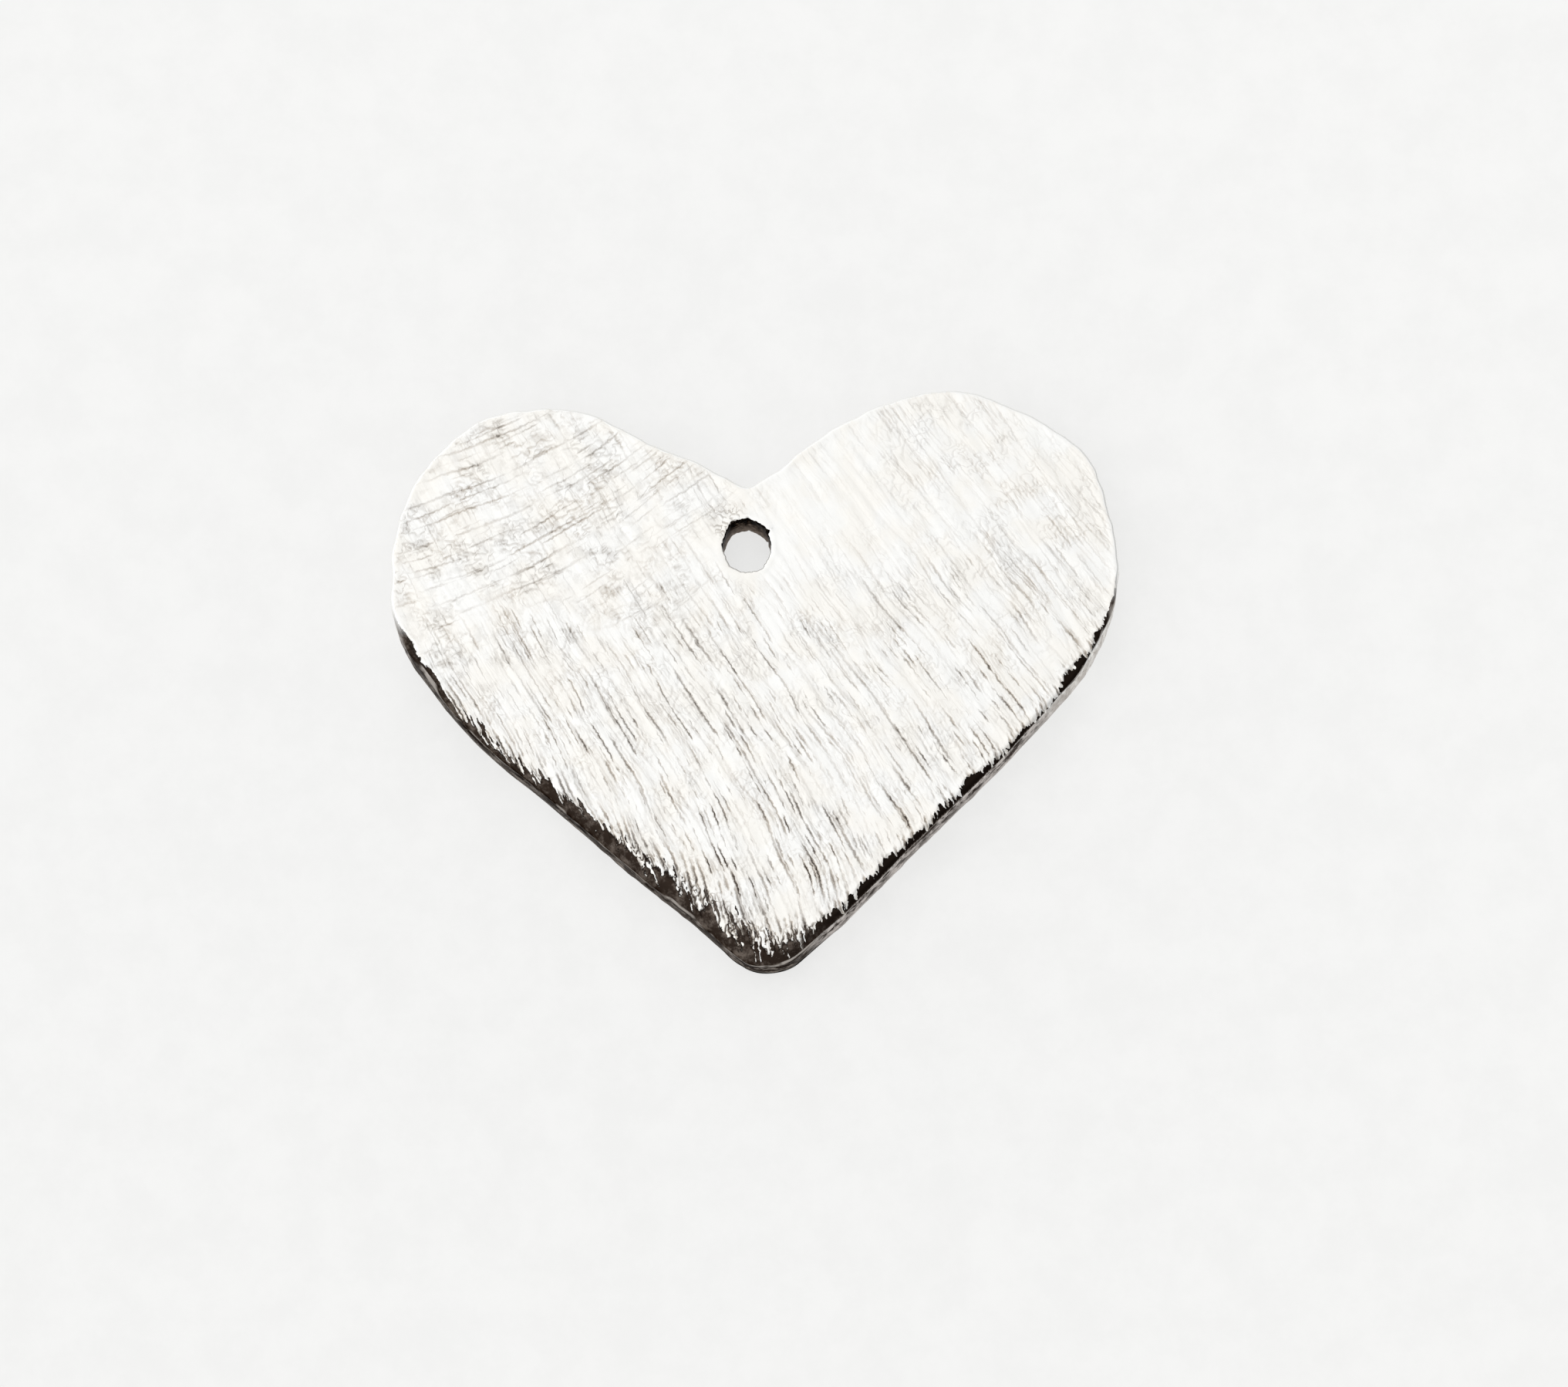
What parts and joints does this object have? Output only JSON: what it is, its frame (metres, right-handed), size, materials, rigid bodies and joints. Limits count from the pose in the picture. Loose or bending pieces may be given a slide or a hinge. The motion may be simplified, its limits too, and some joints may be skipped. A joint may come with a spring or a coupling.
{
  "type": "heart charm",
  "caption": "Flat heart-shaped metal charm with a coarsely brushed face, rounded edges and a small hanging hole under its cleft.",
  "frame": {"origin": "on the surface the charm lies on, under the middle of its width and height", "axes": "+X across the two lobes, +Y from the tip towards the lobes, +Z out of the brushed face"},
  "size_m": [0.015, 0.012, 0.001],
  "materials": {
    "brushed_metal": "coarsely brushed face with straight strokes, darker smooth edges"
  },
  "bodies": {
    "root": {"heart_plate": "brushed_metal"}
  },
  "joints": []
}
